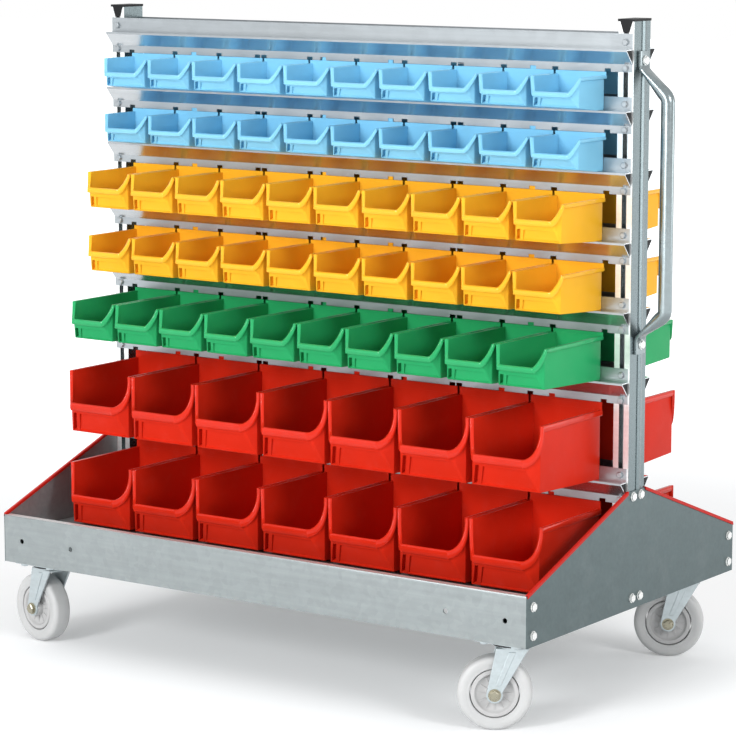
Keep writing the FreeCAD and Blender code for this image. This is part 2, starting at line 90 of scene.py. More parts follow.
def newGroup(name, kind, inputs, outputs):
    group = bpy.data.node_groups.new(name, kind)
    for way, sockets in (("INPUT", inputs), ("OUTPUT", outputs)):
        for label, socketType, *value in sockets:
            socket = group.interface.new_socket(label, in_out=way, socket_type="NodeSocket" + socketType)
            if value:
                socket.default_value = value[0]
    source = group.nodes.new("NodeGroupInput").outputs
    sink = group.nodes.new("NodeGroupOutput").inputs
    return group, source, sink


def useGroup(tree, group, inputs):
    # the group is set first, because its sockets come with it
    node = tree.nodes.new("ShaderNodeGroup")
    node.node_tree = group
    join(tree, node.inputs, inputs)
    return node


def newObject(name, data):
    piece = bpy.data.objects.new(name, data)
    bpy.context.scene.collection.objects.link(piece)
    return piece


def meshFrom(name, points, faces):
    mesh = bpy.data.meshes.new(name)
    mesh.from_pydata([tuple(p) for p in points], [], faces)
    mesh.update()
    return mesh


def stored(bm, mesh):
    bm.to_mesh(mesh)
    bm.free()
    return mesh


def smooth(mesh, angle):
    mesh.polygons.foreach_set("use_smooth", [True] * len(mesh.polygons))
    mesh.set_sharp_from_angle(angle=math.radians(angle))


def closed(name, bm, angle=None):
    # a mesh of what was built, its faces outward, smooth over edges flatter than the angle
    bmesh.ops.recalc_face_normals(bm, faces=bm.faces)
    mesh = stored(bm, bpy.data.meshes.new(name))
    if angle:
        smooth(mesh, angle)
    return mesh


def loaded(mesh):
    bm = bmesh.new()
    bm.from_mesh(mesh)
    return bm


def skinned(bm, rings):
    # faces between neighbouring rings of points, with both ends closed
    loops = [[bm.verts.new(point) for point in ring] for ring in rings]
    count = len(loops[0])
    for first, second in zip(loops, loops[1:]):
        for k in range(count):
            following = (k + 1) % count
            bm.faces.new((first[k], first[following], second[following], second[k]))
    bm.faces.new(loops[0][::-1])
    bm.faces.new(loops[-1])


def boxyCircle(sides, square):
    # points round a circle of radius 1; square 1 is round, less is boxier
    points = []
    for step in range(sides):
        angle = 2 * math.pi * step / sides
        c, s = math.cos(angle), math.sin(angle)
        points.append((math.copysign(abs(c) ** square, c), math.copysign(abs(s) ** square, s)))
    return points


def direction(path, k):
    # along a path whose stations begin with their points, at station k
    before = path[max(k - 1, 0)][0]
    after = path[min(k + 1, len(path) - 1)][0]
    return (after - before).normalized()


def slab(bm, outline, axis, ends):
    # an outline in the plane of the other two axes, drawn out along an axis
    rings = []
    for end in ends:
        rings.append([Vector((*point[:axis], end, *point[axis:])) for point in outline])
    skinned(bm, rings)


def baked(piece):
    # modifiers become a plain mesh
    bpy.context.view_layer.update()
    graph = bpy.context.evaluated_depsgraph_get()
    mesh = bpy.data.meshes.new_from_object(piece.evaluated_get(graph))
    piece.modifiers.clear()
    piece.data = mesh
    return piece


def easedEdges(piece, width, angle=32):
    bevel = piece.modifiers.new("easedEdge", "BEVEL")
    bevel.width = width
    bevel.segments = 2
    bevel.limit_method = "ANGLE"
    bevel.angle_limit = math.radians(angle)
    bevel.harden_normals = True
    return baked(piece)


def finished(piece, material, body, slot, *nodes):
    if material:
        piece.data.materials.clear()
        piece.data.materials.append(material)
    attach(piece, body)
    if nodes:
        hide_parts(*nodes)
    return piece


# Shader groups

finishOutputs = [("Colour", "Color"), ("Roughness", "Float"), ("Normal", "Vector")]
scuffColour = (0.82, 0.8, 0.78, 1)
dullColour = (0.62, 0.64, 0.65, 1)


def marksGroup():
    # scuffs and smudges from handling, as a mask
    group, source, sink = newGroup(
        "handlingMarks", "ShaderNodeTree",
        [("Scale", "Float", 30.0), ("Amount", "Float", 0.3)], [("Mask", "Float")])
    coords = place(group, "ShaderNodeTexCoord").outputs["Object"]
    broad = noise(group, coords, source["Scale"], detail=6.0, roughness=0.68)
    picked = remapped(group, broad, (0.52, 0.78), (0.0, 1.0))
    group.links.new(mathNode(group, "MULTIPLY", picked, source["Amount"]), sink["Mask"])
    return group


def mouldedGroup(marks):
    # injection-moulded plastic: slow shade changes, fine grain, pale scuffs
    group, source, sink = newGroup(
        "mouldedGrain", "ShaderNodeTree",
        [("Colour", "Color", (0.5, 0.5, 0.5, 1)), ("Gloss", "Float", 0.35), ("Grain", "Float", 0.1),
         ("Scuffs", "Float", 0.12)], finishOutputs)
    coords = place(group, "ShaderNodeTexCoord").outputs["Object"]
    shade = remapped(group, noise(group, coords, scale=9.0, detail=3.0), (0.3, 0.7), (0.93, 1.05))
    toned = place(group, "ShaderNodeVectorMath", {0: source["Colour"], "Scale": shade}, operation="SCALE")
    worn = useGroup(group, marks, {"Scale": 42.0, "Amount": source["Scuffs"]})
    mixed = place(group, "ShaderNodeMix", {
        "Factor": worn.outputs["Mask"], 6: toned.outputs["Vector"], 7: scuffColour}, data_type="RGBA")
    rough = mathNode(group, "MULTIPLY_ADD", worn.outputs["Mask"], 0.6, source["Gloss"])
    fine = noise(group, coords, scale=900.0, detail=2.0)
    bump = place(group, "ShaderNodeBump", {"Strength": source["Grain"], "Distance": 0.0004, "Height": fine})
    join(group, sink, {
        "Colour": mixed.outputs[2], "Roughness": rough, "Normal": bump.outputs["Normal"]})
    return group


def zincGroup(marks):
    # zinc coat: crystal spangle, rolling streaks along X, dull patches
    group, source, sink = newGroup(
        "zincCoat", "ShaderNodeTree",
        [("Colour", "Color", (0.6, 0.6, 0.6, 1)), ("Gloss", "Float", 0.35), ("Spangle", "Float", 120.0),
         ("Contrast", "Float", 0.12), ("Marks", "Float", 0.2), ("Streaks", "Float", 0.12)], finishOutputs)
    coords = place(group, "ShaderNodeTexCoord").outputs["Object"]
    cells = place(group, "ShaderNodeTexVoronoi", {
        "Vector": coords, "Scale": source["Spangle"], "Randomness": 1.0})
    grey = place(group, "ShaderNodeSeparateColor", {"Color": cells.outputs["Color"]})
    centred = mathNode(group, "SUBTRACT", grey.outputs["Red"], 0.5)
    swing = mathNode(group, "MULTIPLY_ADD", centred, source["Contrast"], 1.0)
    stretched = place(group, "ShaderNodeMapping", {"Vector": coords, "Scale": (3.0, 140.0, 140.0)})
    streak = noise(group, stretched.outputs["Vector"], scale=1.0, detail=4.0)
    both = mathNode(group, "MULTIPLY", swing, remapped(group, streak, (0.3, 0.7), (0.95, 1.05)))
    toned = place(group, "ShaderNodeVectorMath", {0: source["Colour"], "Scale": both}, operation="SCALE")
    dull = useGroup(group, marks, {"Scale": 11.0, "Amount": source["Marks"]})
    mixed = place(group, "ShaderNodeMix", {
        "Factor": dull.outputs["Mask"], 6: toned.outputs["Vector"], 7: dullColour}, data_type="RGBA")
    cellRough = mathNode(group, "MULTIPLY_ADD", centred, source["Contrast"], source["Gloss"])
    rough = mathNode(group, "MULTIPLY_ADD", dull.outputs["Mask"], 0.4, cellRough)
    bump = place(group, "ShaderNodeBump", {
        "Strength": source["Streaks"], "Distance": 0.0003, "Height": streak})
    join(group, sink, {
        "Colour": mixed.outputs[2], "Roughness": rough, "Normal": bump.outputs["Normal"]})
    return group


marks = marksGroup()
moulded = mouldedGroup(marks)
zinc = zincGroup(marks)


def newMaterial(name, group, values, **constants):
    # the group feeds what changes over the surface, the constants sit on the shader
    material = bpy.data.materials.new(name)
    material.use_nodes = True
    tree = material.node_tree
    shader = tree.nodes["Principled BSDF"]
    effect = useGroup(tree, group, values)
    join(tree, shader.inputs, {
        "Base Color": effect.outputs["Colour"], "Roughness": effect.outputs["Roughness"],
        "Normal": effect.outputs["Normal"]})
    for label, value in constants.items():
        shader.inputs[label.replace("_", " ")].default_value = value
    material.diffuse_color = values["Colour"]
    return material


def zincCoat(name, colour, gloss, spangle, contrast, wear, metal, streaks=0.12):
    return newMaterial(name, zinc, {
        "Colour": (*colour, 1), "Gloss": gloss, "Spangle": spangle, "Contrast": contrast, "Marks": wear,
        "Streaks": streaks}, Metallic=metal)


def plastic(name, colour, gloss, grain, scuffs, **constants):
    return newMaterial(name, moulded, {
        "Colour": (*colour, 1), "Gloss": gloss, "Grain": grain, "Scuffs": scuffs}, **constants)


binColours = {
    "blue": (0.225, 0.56, 0.78),
    "yellow": (0.9, 0.46, 0.026),
    "green": (0.024, 0.36, 0.125),
    "red": (0.64, 0.023, 0.008),
}


def binFinish(name, gloss, grain, specular):
    finish = {}
    for colour, value in binColours.items():
        finish[colour] = plastic(name + "_" + colour, value, gloss, grain, scuffs=0.012, IOR=1.49,
                                 Specular_IOR_Level=specular)
    return finish


binPlastic = binFinish("binPlastic", gloss=0.28, grain=0.1, specular=0.06)
rimPlastic = binFinish("rimPlastic", gloss=0.17, grain=0.03, specular=0.24)
galvanisedSheet = zincCoat("galvanisedSheet", (0.29, 0.322, 0.327), gloss=0.42, spangle=95.0, contrast=0.1,
                           wear=0.1, metal=0.5)
# darker copy of the galvanised sheet for the end plates' outer faces: painted shade, the end plates shown lit less
# than the side panels
shadedPlateSheet = zincCoat("shadedPlateSheet", (0.105, 0.138, 0.142), gloss=0.38, spangle=95.0, contrast=0.1, wear=0.06,
                      metal=0.9)
railZinc = zincCoat("railZinc", (0.66, 0.69, 0.71), gloss=0.26, spangle=60.0, contrast=0.02, wear=0.0,
                    metal=0.95)
# darker copy of the rail zinc for the rails' upright faces and their bolts: painted shade where the bins shade the
# strips
shadedStripZinc = zincCoat("shadedStripZinc", (0.36, 0.39, 0.41), gloss=0.34, spangle=60.0, contrast=0.04, wear=0.03,
                     metal=0.9)
# lighter copy of the zinc for the side panels' top lip and the posts' front and back faces: painted highlight
paintedHighlightZinc = zincCoat("paintedHighlightZinc", (0.78, 0.8, 0.8), gloss=0.36, spangle=60.0, contrast=0.02, wear=0.03,
                        metal=0.7, streaks=0.01)
tubeZinc = zincCoat("tubeZinc", (0.23, 0.27, 0.28), gloss=0.24, spangle=160.0, contrast=0.04, wear=0.06,
                    metal=0.9, streaks=0.04)
boltZinc = zincCoat("boltZinc", (0.8, 0.81, 0.8), gloss=0.25, spangle=300.0, contrast=0.06, wear=0.1,
                    metal=0.9)
millAluminium = zincCoat("millAluminium", (0.17, 0.21, 0.22), gloss=0.28, spangle=400.0, contrast=0.03,
                         wear=0.04, metal=0.9, streaks=0.02)
castorZinc = zincCoat("castorZinc", (0.5, 0.56, 0.58), gloss=0.34, spangle=250.0, contrast=0.05, wear=0.05,
                      metal=0.7)
axleZinc = zincCoat("axleZinc", (0.36, 0.34, 0.26), gloss=0.3, spangle=300.0, contrast=0.1, wear=0.15,
                    metal=0.9)
capPlastic = plastic("capPlastic", (0.007, 0.008, 0.009), gloss=0.5, grain=0.15, scuffs=0.01, IOR=1.47,
                     Specular_IOR_Level=0.2)
trimPlastic = plastic("trimPlastic", (0.5, 0.018, 0.012), gloss=0.38, grain=0.1, scuffs=0.02, IOR=1.47,
                      Specular_IOR_Level=0.12)
corePlastic = plastic("corePlastic", (0.48, 0.48, 0.48), gloss=0.4, grain=0.12, scuffs=0.12, IOR=1.47)
tyrePlastic = plastic("tyrePlastic", (0.53, 0.535, 0.535), gloss=0.45, grain=0.14, scuffs=0.14, IOR=1.47)
raceSteel = plastic("raceSteel", (0.03, 0.032, 0.035), gloss=0.5, grain=0.1, scuffs=0.1, Metallic=0.3)
print("materials made:", len(bpy.data.materials))


# Geometry Nodes trees

def newTree(name, *inputs):
    geometry = ("Geometry", "Geometry")
    return newGroup(name, "GeometryNodeTree", [geometry, *inputs], [geometry])


def dressedCopies(group, points, model, turn, material):
    # copies of a model on points as one plain mesh, in one material
    copies = place(group, "GeometryNodeInstanceOnPoints", {
        "Points": points, "Instance": model, "Rotation": turn})
    real = place(group, "GeometryNodeRealizeInstances", {"Geometry": copies.outputs["Instances"]})
    dressed = place(group, "GeometryNodeSetMaterial", {
        "Geometry": real.outputs["Geometry"], "Material": material})
    return dressed.outputs["Geometry"]


def facingTurn(group, facing, axis):
    turn = place(group, "FunctionNodeAlignRotationToVector", {"Vector": facing}, axis=axis)
    return turn.outputs["Rotation"]


def rowTree():
    # copies of a model in a straight row, with a second material on its rim
    group, source, sink = newTree(
        "rowOfBins", ("Model", "Object"), ("Count", "Int", 10), ("First", "Vector"), ("Step", "Vector"),
        ("Turn", "Vector"), ("Material", "Material"), ("Rim Material", "Material"))
    line = place(group, "GeometryNodeMeshLine", {
        "Count": source["Count"], "Start Location": source["First"], "Offset": source["Step"]}, mode="OFFSET")
    model = place(group, "GeometryNodeObjectInfo", {"Object": source["Model"]})
    turn = place(group, "FunctionNodeEulerToRotation", {"Euler": source["Turn"]})
    row = dressedCopies(group, line.outputs["Mesh"], model.outputs["Geometry"], turn.outputs["Rotation"],
                        source["Material"])
    onRim = place(group, "GeometryNodeInputNamedAttribute", {"Name": "rim"}, data_type="BOOLEAN")
    rimmed = place(group, "GeometryNodeSetMaterial", {
        "Geometry": row, "Selection": onRim.outputs["Attribute"], "Material": source["Rim Material"]})
    group.links.new(rimmed.outputs["Geometry"], sink["Geometry"])
    return group


def boltTree():
    # a hexagon head with a narrower crown on a washer, at each point, along the point's facing
    group, source, sink = newTree(
        "boltHeads", ("Across Corners", "Float", 0.0075), ("Head", "Float", 0.005),
        ("Washer Radius", "Float", 0.008), ("Washer", "Float", 0.0016), ("Material", "Material"))
    crownFrom, crownTop = 0.72, 0.78   # where the crown begins, and its width at the top

    def raised(part, height):
        rise = place(group, "ShaderNodeCombineXYZ", {"Z": height})
        return place(group, "GeometryNodeTransform", {
            "Geometry": part.outputs["Mesh"], "Translation": rise.outputs["Vector"]})

    corners = source["Across Corners"]
    lower = mathNode(group, "MULTIPLY", source["Head"], crownFrom)
    upper = mathNode(group, "MULTIPLY", source["Head"], 1 - crownFrom)
    narrow = mathNode(group, "MULTIPLY", corners, crownTop)
    sides = place(group, "GeometryNodeMeshCone", {
        "Vertices": 6, "Radius Top": corners, "Radius Bottom": corners, "Depth": lower})
    crown = place(group, "GeometryNodeMeshCone", {
        "Vertices": 6, "Radius Bottom": corners, "Radius Top": narrow, "Depth": upper})
    washer = place(group, "GeometryNodeMeshCylinder", {
        "Vertices": 18, "Radius": source["Washer Radius"], "Depth": source["Washer"]})
    heights = (mathNode(group, "MULTIPLY", source["Washer"], 0.5), source["Washer"],
               mathNode(group, "ADD", source["Washer"], lower))
    joined = place(group, "GeometryNodeJoinGeometry")
    for part, height in zip((washer, sides, crown), heights):
        group.links.new(raised(part, height).outputs["Geometry"], joined.inputs["Geometry"])
    facing = place(group, "GeometryNodeInputNamedAttribute", {"Name": "facing"}, data_type="FLOAT_VECTOR")
    heads = dressedCopies(group, source["Geometry"], joined.outputs["Geometry"],
                          facingTurn(group, facing.outputs["Attribute"], "Z"), source["Material"])
    group.links.new(heads, sink["Geometry"])
    return group


def ribTree():
    # thin blades round an axle along Z, for the wheel's web
    group, source, sink = newTree(
        "wheelRibs", ("Count", "Int", 12), ("Middle", "Float", 0.023), ("Blade", "Vector"),
        ("Material", "Material"))
    ring = place(group, "GeometryNodeMeshCircle", {"Vertices": source["Count"], "Radius": source["Middle"]})
    blade = place(group, "GeometryNodeMeshCube", {"Size": source["Blade"]})
    spot = place(group, "GeometryNodeInputPosition")
    ribs = dressedCopies(group, ring.outputs["Mesh"], blade.outputs["Mesh"],
                         facingTurn(group, spot.outputs["Position"], "X"), source["Material"])
    group.links.new(ribs, sink["Geometry"])
    return group


binRow = rowTree()
boltHeads = boltTree()
wheelRibs = ribTree()


def grown(name, tree, values, mesh=None):
    # runs a tree on a new object and keeps the plain mesh
    piece = newObject(name, mesh or bpy.data.meshes.new(name))
    modifier = piece.modifiers.new(tree.name, "NODES")
    modifier.node_group = tree
    for item in tree.interface.items_tree:
        if item.item_type == "SOCKET" and item.in_out == "INPUT" and item.name in values:
            modifier[item.identifier] = values[item.name]
    return baked(piece)


# Bins

# height: of the walls, front: of the front lip, reach and inset: how far the front stands out and draws in,
# sweep: how low the open edge curves, round: corners, crease and bend: where the front's corners begin to
# soften, and how much, lip and rim: drop of the front lip and of the side rim
bins = {
    "blue": {"height": 0.0575, "front": 0.0325, "reach": 0.016, "inset": 0.012, "sweep": 0.1, "round": 0.0026,
             "crease": 0.7, "bend": 0.0055, "lip": 0.0075, "rim": 0.006},
    "yellow": {"height": 0.072, "front": 0.0445, "reach": 0.017, "inset": 0.011, "sweep": 0.3, "round": 0.003,
               "crease": 0.62, "bend": 0.0062, "lip": 0.0095, "rim": 0.007},
    "green": {"height": 0.075, "front": 0.0445, "reach": 0.019, "inset": 0.012, "sweep": 0.3, "round": 0.003,
              "crease": 0.62, "bend": 0.0062, "lip": 0.0095, "rim": 0.007},
    "red": {"height": 0.1195, "front": 0.064, "reach": 0.026, "inset": 0.02, "sweep": 0.95, "round": 0.0042,
            "crease": 0.72, "bend": 0.0046, "lip": 0.0145, "rim": 0.0105},
}
binMould = {
    "wall": 0.002,          # sheet of plastic
    "seat": 0.024,          # level part of the floor, on the rail
    "floorRise": 0.007,     # the rest rises to the front
    "rimOut": 0.005,        # side rim stands out
    "beadOut": 0.0044,      # bead round the open front
    "beadDrop": 0.0052,
    "lipLean": 0.45,        # how far the bead's face leans back where it widens to the front lip
    "labelEdge": 0.0011,    # frame and depth of the label field
    "labelDepth": 0.002,
    "labelSlope": 0.0007,
    "labelLean": 0.0016,
    "slotWide": 0.0052,     # label slot at its left end
    "slotEdge": 0.0005,
    "slotDepth": 0.009,
    "slotSlope": 0.0002,
    "hookBehind": 0.0024,   # gap behind the rear wall up to the hook
    "hookRise": 0.007,
    "hookPlay": 0.0004,     # left free under the rail's strip
    "hookInset": 0.025,
    "riseLap": 0.001,       # the rear rise starts inside the wall and ends inside the rim
    "riseSink": 0.0002,
    "rimEnd": ((0.008, 1.0), (0.003, 0.86)),   # behind the front corner: distance, share of the stand-out
    "lipStraight": 0.004,   # from the end of the curve to the straight lip
    "beadSquare": 0.55,     # 1 is a round bead, less is boxier
    "beadLift": 0.0004,
    "beadSides": 12,
    "sweepPull": (0.3, 0.32),   # of the two middle handles of the front curve
    "curveSteps": 9,
}


def frontCurve(kind, half, corner, side):
    # from the top front corner down and out to the end of the front rim
    sweep, high, low = kind["sweep"], kind["height"], kind["front"]
    drop = high - low
    pullDown, pullIn = binMould["sweepPull"]
    handles = [
        (0.0, high),
        ((1 - sweep) / 3, high - drop * (1 / 3 + pullDown * sweep)),
        (2 / 3 - pullIn * sweep, low + drop * (1 - sweep) / 3),
        (1.0, low),
    ]
    points = []
    for step in range(binMould["curveSteps"] + 1):
        t = step / binMould["curveSteps"]
        weights = ((1 - t) ** 3, 3 * t * (1 - t) ** 2, 3 * t * t * (1 - t), t ** 3)
        out = sum(w * h[0] for w, h in zip(weights, handles))
        z = sum(w * h[1] for w, h in zip(weights, handles))
        points.append(Vector((side * (half - out * kind["inset"]), corner - out * kind["reach"], z)))
    return points


def lies(edge, start, end):
    # whether an edge is part of the line from start to end
    span = end - start
    for vert in edge.verts:
        share = (vert.co - start).dot(span) / span.length_squared
        if not -0.001 < share < 1.001 or (start + span * share - vert.co).length > weld:
            return False
    return True


def sunk(bm, face, edge, slope, depth):
    # a frame round a face, then the face pressed in
    bmesh.ops.inset_individual(bm, faces=[face], thickness=edge)
    bmesh.ops.inset_individual(bm, faces=[face], thickness=slope, depth=-depth)


def rounded(bm, edges, radius, steps, clamp=True):
    bmesh.ops.bevel(bm, geom=edges, offset=radius, segments=steps, profile=0.5, affect="EDGES",
                    clamp_overlap=clamp)


def binShell(kind, half, corner):
    # the outer skin as an open shell, rounded at its corners
    bm = bmesh.new()
    spots = {}
    for side in (-1, 1):
        curve = frontCurve(kind, half, corner, side)
        low = Vector((side * half, corner, binMould["floorRise"]))
        spots[side] = {
            "rearLow": bm.verts.new((side * half, 0, 0)),
            "rearHigh": bm.verts.new((side * half, 0, kind["height"])),
            "seat": bm.verts.new((side * half, -binMould["seat"], 0)),
            "low": bm.verts.new(low),
            "crease": bm.verts.new(low.lerp(curve[-1], kind["crease"])),
            "curve": [bm.verts.new(p) for p in curve],
        }
    a, b = spots[-1], spots[1]
    slotSpan = Vector((binMould["slotWide"] + 2 * (kind["round"] + binMould["slotEdge"]), 0, 0))
    slotLow = bm.verts.new(a["low"].co + slotSpan)
    slotHigh = bm.verts.new(a["crease"].co + slotSpan)
    bm.faces.new((a["rearLow"], a["seat"], b["seat"], b["rearLow"]))
    bm.faces.new((a["seat"], a["low"], slotLow, b["low"], b["seat"]))
    bm.faces.new((a["rearLow"], b["rearLow"], b["rearHigh"], a["rearHigh"]))
    bm.faces.new((a["crease"], slotHigh, b["crease"], b["curve"][-1], a["curve"][-1]))
    slot = bm.faces.new((a["low"], slotLow, slotHigh, a["crease"]))
    label = bm.faces.new((slotLow, b["low"], b["crease"], slotHigh))
    for s in (a, b):
        bm.faces.new((s["rearLow"], s["seat"], s["low"], s["curve"][0], s["rearHigh"]))
        bm.faces.new([s["low"], s["crease"]] + s["curve"][::-1])
    bmesh.ops.recalc_face_normals(bm, faces=bm.faces)
    bm.normal_update()
    if label.normal.y > 0:
        bmesh.ops.reverse_faces(bm, faces=bm.faces)
    soft = [("rearLow", "rearHigh"), ("rearLow", "seat"), ("seat", "low"), ("low", "crease")]
    pairs = [(s[m], s[n]) for s in (a, b) for m, n in soft]
    pairs += [(s["low"], s["curve"][0]) for s in (a, b)]
    pairs += [(a["low"], slotLow), (slotLow, b["low"]), (a["rearLow"], b["rearLow"])]
    corners = [(m.co.copy(), n.co.copy()) for m, n in pairs]
    creases = [bm.edges.get((s["crease"], s["curve"][-1])) for s in (a, b)]
    sunk(bm, label, kind["round"] + binMould["labelEdge"], binMould["labelSlope"], binMould["labelDepth"])
    for vert in label.verts:
        if vert.co.z > label.calc_center_median().z:
            vert.co.y += binMould["labelLean"]
    sunk(bm, slot, kind["round"] + binMould["slotEdge"], binMould["slotSlope"], binMould["slotDepth"])
    rounded(bm, creases, kind["bend"], 4)
    edges = [edge for edge in bm.edges if any(lies(edge, *ends) for ends in corners)]
    rounded(bm, edges, kind["round"], 3)
    return stored(bm, bpy.data.meshes.new("binShell"))


def rimPath(kind, half, corner):
    # along the open edge from the left rear to the right rear: point, wall normal, stand-out, drop, lean
    out, drop = binMould["rimOut"], kind["rim"]
    bead, fall, lean = binMould["beadOut"], binMould["beadDrop"], binMould["lipLean"]
    slope = Vector((0, -kind["front"], -kind["reach"])).normalized()
    path = []
    for side in (-1, 1):
        sideNormal = Vector((side, 0, 0))
        facet = Vector((side * kind["reach"], -kind["inset"], 0)).normalized()
        curve = frontCurve(kind, half, corner, side)
        leg = [(Vector((side * half, 0, kind["height"])), sideNormal, out, drop, 0)]
        for behind, share in binMould["rimEnd"]:
            point = Vector((side * half, corner + behind, kind["height"]))
            leg.append((point, sideNormal, out * share, drop, 0))
        for k, p in enumerate(curve[:-1]):
            share = k / (len(curve) - 1)
            leg.append((p, facet, bead, fall + (kind["lip"] - fall) * share, lean * share))
        leg.append((curve[-1], (facet + slope).normalized(), bead, kind["lip"], lean))
        inward = Vector((side * binMould["lipStraight"], 0, 0))
        leg.append((curve[-1] - inward, slope, bead, kind["lip"], lean))
        path += leg if side < 0 else leg[::-1]
    return path


def sweepRim(bm, path):
    wall = binMould["wall"]
    section = boxyCircle(binMould["beadSides"], binMould["beadSquare"])
    rings = []
    for k, (point, normal, out, drop, lean) in enumerate(path):
        up = normal.cross(direction(path, k)).normalized()
        ring = []
        for wide, tall in section:
            reach = out * (1 - lean * (1 + tall) / 2)
            across = (reach - wall) / 2 + wide * (reach + wall) / 2
            lift = -drop / 2 + binMould["beadLift"] + tall * drop / 2
            ring.append(point + normal * across + up * lift)
        rings.append(ring)
    skinned(bm, rings)


def addHook(bm, kind, half, halfHook, top):
    # the rear wall's rise to the rail's strip, and the lip that passes under it and up behind
    wall, behind, lap = binMould["wall"], binMould["hookBehind"], binMould["riseLap"]
    lip = top - binMould["hookRise"] - binMould["hookPlay"]
    start = kind["height"] - lap
    face, back = binMould["riseSink"] - wall, -binMould["riseSink"]
    rise = [(back, start), (face, start), (face, lip), (back, lip)]
    hook = [(0, lip - wall), (0, lip), (behind, lip), (behind, top), (behind + wall, top),
            (behind + wall, lip - wall)]
    for outline, reach in ((rise, half + binMould["rimOut"] - lap), (hook, halfHook)):
        slab(bm, outline, 0, (-reach, reach))


def binModel(colour, low, high):
    # low and high: the box of one bin of this kind where it hangs
    kind = bins[colour]
    wall = binMould["wall"]
    half = (high.x - low.x) / 2 - binMould["rimOut"]
    rear = high.y - binMould["hookBehind"] - wall
    corner = -(rear - low.y) + kind["reach"]
    model = newObject("binModel_" + colour, binShell(kind, half, corner))
    skin = len(model.data.vertices)
    thick = model.modifiers.new("wall", "SOLIDIFY")
    thick.thickness = wall
    thick.offset = -1
    thick.use_even_offset = True
    baked(model)
    # keeps the inner skin near the outer one at sharp corners
    for k in range(skin):
        start, inner = model.data.vertices[k].co, model.data.vertices[k + skin]
        if (inner.co - start).length > 2 * wall:
            inner.co = start + (inner.co - start).normalized() * 2 * wall
    bm = loaded(model.data)
    added = bmesh.new()
    sweepRim(added, rimPath(kind, half, corner))
    spans = (len(bm.faces), len(added.faces))
    addHook(added, kind, half, half + binMould["rimOut"] - binMould["hookInset"], high.z - low.z)
    extra = closed("binRim", added)
    bm.from_mesh(extra)
    stored(bm, model.data)
    bpy.data.meshes.remove(extra)
    # marks the faces of the rim for its own finish
    rim = model.data.attributes.new("rim", "BOOLEAN", "FACE")
    count = len(model.data.polygons)
    rim.data.foreach_set("value", [spans[0] <= k < sum(spans) for k in range(count)])
    smooth(model.data, 38)
    model.hide_render = True
    return model


def hangRow(name, node, colour, model, endBox, count, rear, body):
    # the bins stand side by side from the low X end of the row's node; the rear ones face the other way
    low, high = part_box(node)
    width = endBox[1].x - endBox[0].x
    step = (high.x - low.x - width) / max(count - 1, 1)
    y = endBox[1].y - binMould["hookBehind"] - binMould["wall"]
    first = Vector((low.x + width / 2, -y if rear else y, low.z))
    piece = grown(name, binRow, {
        "Model": model, "Count": count, "First": first, "Step": Vector((step, 0, 0)),
        "Turn": Vector((0, 0, math.pi if rear else 0)), "Material": binPlastic[colour],
        "Rim Material": rimPlastic[colour]})
    return finished(piece, None, body, colour + "_bin", node)


rowColours = ["blue", "blue", "yellow", "yellow", "green", "red", "red"]
rowCounts = {"blue": 10, "yellow": 10, "green": 10, "red": 7}
binModels = {}
for row, colour in enumerate(rowColours, 1):
    label = "row_%d_%s" % (row, colour)
    endNode = "front_" + label + "_end_bin"
    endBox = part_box(endNode)
    if colour not in binModels:
        binModels[colour] = binModel(colour, *endBox)
    model, count = binModels[colour], rowCounts[colour]
    frontNode, rearNode = "front_" + label + "_bins", "rear_" + label + "_bins"
    hangRow("bins_front_" + label, frontNode, colour, model, endBox, count - 1, False, "frame")
    hangRow("bin_end_" + label, endNode, colour, model, endBox, 1, False, "bin_row_%d" % row)
    hangRow("bins_rear_" + label, rearNode, colour, model, endBox, count, True, "frame")
for model in binModels.values():
    bpy.data.objects.remove(model)
print("bins hung:", len(rowColours), "rows on each side")


# Sheet metal, posts, caps and trims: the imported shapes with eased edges

# second: an axis and a finish for the faces that look along it, or with True only for the inner ones
sheetParts = {
    # the rails' faces that look along Y take the darker copy: painted shade
    "rails": {"nodes": ["front_hook_rails", "rear_hook_rails"], "ease": 0.0006, "finish": railZinc,
              "second": (1, shadedStripZinc)},
    # the panels' faces that look up or down, the top lip among them, take the lighter copy: painted highlight
    "panels": {"nodes": ["front_side_panel", "rear_side_panel"], "ease": 0.0007, "finish": galvanisedSheet,
               "second": (2, paintedHighlightZinc)},
    # the end plates' outer faces take the darker copy, painted shade; their inner faces keep the plain galvanised
    # sheet
    "plates": {"nodes": ["end_plate_left", "end_plate_right"], "ease": 0.0005, "finish": shadedPlateSheet,
               "second": (0, galvanisedSheet, True)},
    "tray": {"nodes": ["base_tray"], "ease": 0.0006, "finish": galvanisedSheet},
    "bearers": {"nodes": ["castor_bearers"], "ease": 0.0009, "finish": galvanisedSheet},
    # the posts' faces that look along Y take the lighter copy: painted highlight
    "posts": {"nodes": ["post_left", "post_right"], "ease": 0.0008, "finish": millAluminium,
              "second": (1, paintedHighlightZinc)},
    "caps": {"nodes": ["post_cap_left", "post_cap_right"], "ease": 0.0009, "finish": capPlastic},
    "trims": {"nodes": ["edge_trims_left", "edge_trims_right"], "ease": 0.0007, "finish": trimPlastic},
}
panelFold = 0.0045     # rounding of the fold along the top of the side panels
trimCut = 0.0044       # taken off the flanges of the trims
squarely = 0.8         # part of a face's normal along an axis from which it looks that way
slotOf = {part["node"]: part["material_slot"] for part in frame["record"]["subparts"]}


